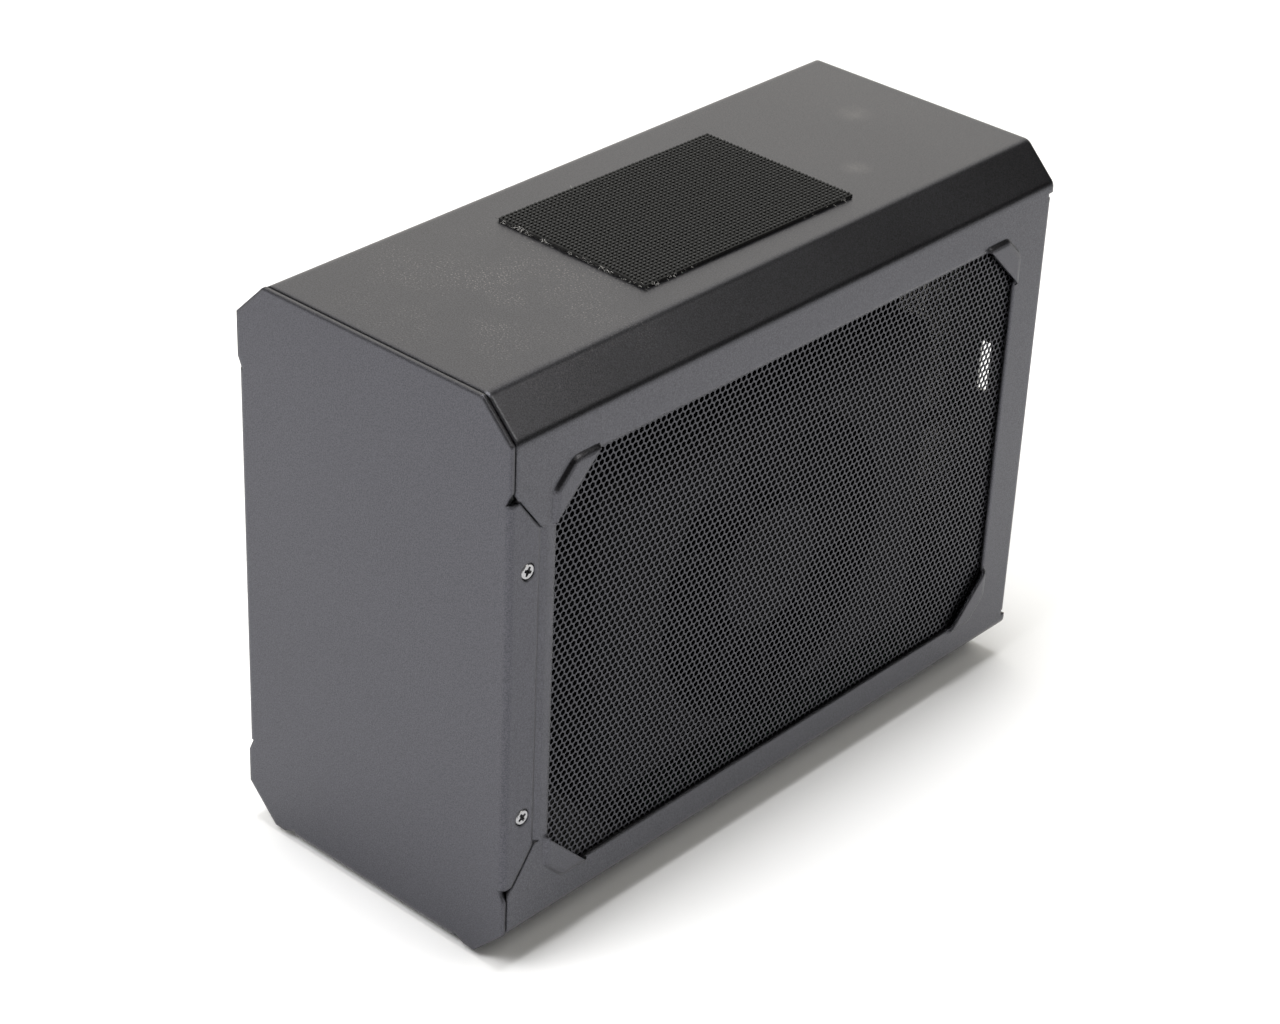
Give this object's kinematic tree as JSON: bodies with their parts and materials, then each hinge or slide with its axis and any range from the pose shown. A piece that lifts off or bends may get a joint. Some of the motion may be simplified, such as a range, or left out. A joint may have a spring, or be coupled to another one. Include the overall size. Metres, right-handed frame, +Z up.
{
  "type": "external graphics card enclosure",
  "caption": "Upright steel case with cut corners, a folded front cover and hexagon-mesh sides, housing a power supply and a graphics card for use outside a computer.",
  "frame": {"origin": "on the floor under the middle of the part's overall box", "axes": "+X to the right seen from the front, +Y from the front cover to the sockets at the back, +Z up"},
  "size_m": [0.096, 0.212, 0.1643],
  "materials": {
    "case_paint": "fine textured powder coat",
    "grille_paint": "satin powder coat",
    "screw_black": "satin black",
    "hook_tape": "hook pile",
    "foot_rubber": "matte",
    "chassis_steel": "zinc plated",
    "panel_paint": "satin powder coat",
    "bracket_steel": "nickel plated",
    "socket_steel": "nickel plated",
    "board_laminate": "solder mask",
    "black_plastic": "moulded",
    "sink_aluminium": "extruded",
    "pin_brass": "plated",
    "lead_insulation": "sleeved"
  },
  "bodies": {
    "case": {"outer_shell": "case_paint", "front_cover": "case_paint", "grille_right": "grille_paint", "grille_left": "grille_paint", "front_screws": "screw_black", "hook_patch": "hook_tape", "foot_front_left": "foot_rubber", "foot_front_right": "foot_rubber", "foot_rear_left": "foot_rubber", "foot_rear_right": "foot_rubber", "base_plate": "chassis_steel", "divider_wall": "chassis_steel", "board_standoffs": "chassis_steel", "rear_panel": "panel_paint", "psu_case": "panel_paint", "card_bracket": "bracket_steel", "usb_sockets": "socket_steel", "usb_c_socket": "socket_steel", "hdmi_socket": "socket_steel", "displayport_sockets": "socket_steel", "dvi_socket": "socket_steel", "main_board": "board_laminate", "card_board": "board_laminate", "card_slot": "black_plastic", "board_power_socket": "black_plastic", "card_power_socket": "black_plastic", "ac_inlet": "black_plastic", "card_fan_mount": "black_plastic", "card_shroud": "black_plastic", "psu_fan_frame": "black_plastic", "controller_heatsink": "sink_aluminium", "card_heatsink": "sink_aluminium", "inlet_pins": "pin_brass", "card_power_lead": "lead_insulation", "board_power_lead": "lead_insulation"},
    "card_fan_rotor": {"card_fan": "black_plastic"},
    "psu_fan_rotor": {"psu_fan": "black_plastic"}
  },
  "joints": [
    {"name": "card_fan_spin", "type": "hinge", "parent": "case", "child": "card_fan_rotor", "pos_m": [0.0267, -0.0004, 0.0728], "axis": [1, 0, 0], "continuous": true},
    {"name": "psu_fan_spin", "type": "hinge", "parent": "case", "child": "psu_fan_rotor", "pos_m": [-0.02325, 0.0986, 0.09], "axis": [0, -1, 0], "continuous": true}
  ]
}
